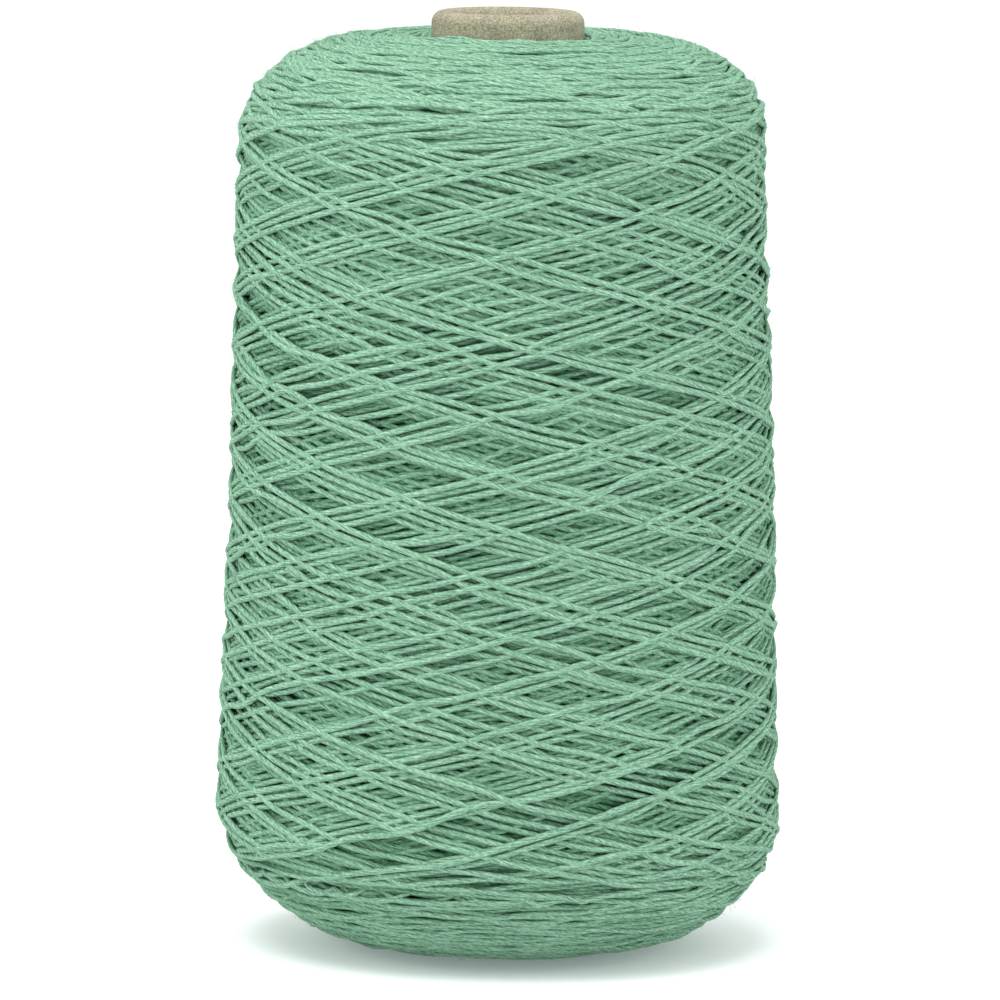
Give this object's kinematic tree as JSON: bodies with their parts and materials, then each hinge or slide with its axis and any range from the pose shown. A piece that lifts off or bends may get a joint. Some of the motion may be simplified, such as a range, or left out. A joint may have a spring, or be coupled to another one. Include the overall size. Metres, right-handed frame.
{
  "type": "yarn cone",
  "caption": "Full package of soft cotton knitting yarn, cross-wound on a tapered paper cone with a rolled nose and an open bore for a creel peg.",
  "frame": {"origin": "on the cone's axis, in the plane of the cut base rim that the package stands on", "axes": "+Z along the cone's axis from the wide base to the narrow nose, +X and +Y level"},
  "size_m": [0.1228, 0.1228, 0.2035],
  "materials": {
    "cone_greyboard": "matt recycled greyboard with dark fibre flecks",
    "yarn_mint": "matt soft-spun cotton, slightly fuzzy"
  },
  "bodies": {
    "root": {"paper_cone": "cone_greyboard", "yarn_starting_tail": "yarn_mint", "yarn_first_build": "yarn_mint", "yarn_lower_build": "yarn_mint", "yarn_upper_build": "yarn_mint", "yarn_outer_build": "yarn_mint"}
  },
  "joints": []
}
